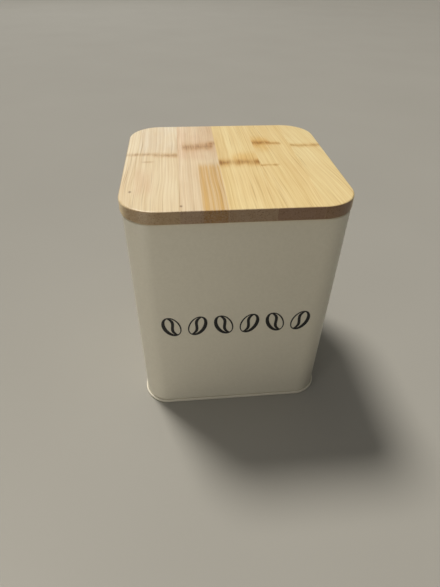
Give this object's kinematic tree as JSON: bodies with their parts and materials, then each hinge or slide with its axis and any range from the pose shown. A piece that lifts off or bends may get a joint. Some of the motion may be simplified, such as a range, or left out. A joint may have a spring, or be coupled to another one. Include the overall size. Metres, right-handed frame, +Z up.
{
  "type": "storage canister",
  "caption": "Square tinplate storage canister with rounded corners, a double-seamed base and a plug-in laminated bamboo lid with a silicone seal.",
  "frame": {"origin": "centre of the outline, on the surface the canister stands on", "axes": "+Z up, -Y out of the printed front, +X to the right seen from the front"},
  "size_m": [0.11, 0.11, 0.134],
  "materials": {
    "coated_steel": "ivory powder coat, satin, with a fine orange peel",
    "print_ink": "black screen-printed ink, semi-matt",
    "bamboo": "carbonised and natural bamboo strips under a satin lacquer",
    "silicone": "translucent white, matt"
  },
  "bodies": {
    "canister": {"body_shell": "coated_steel", "base_pan": "coated_steel", "front_print": "print_ink"},
    "lid": {"cover_strip_1": "bamboo", "cover_strip_2": "bamboo", "cover_strip_3": "bamboo", "cover_strip_4": "bamboo", "cover_strip_5": "bamboo", "cover_strip_6": "bamboo", "plug_strip_1": "bamboo", "plug_strip_2": "bamboo", "plug_strip_3": "bamboo", "plug_strip_4": "bamboo", "plug_strip_5": "bamboo", "seal_ring": "silicone"}
  },
  "joints": [
    {"name": "lid_lift", "type": "slide", "parent": "canister", "child": "lid", "axis": [0, 0, 1], "range_m": [0, 0.06]}
  ]
}
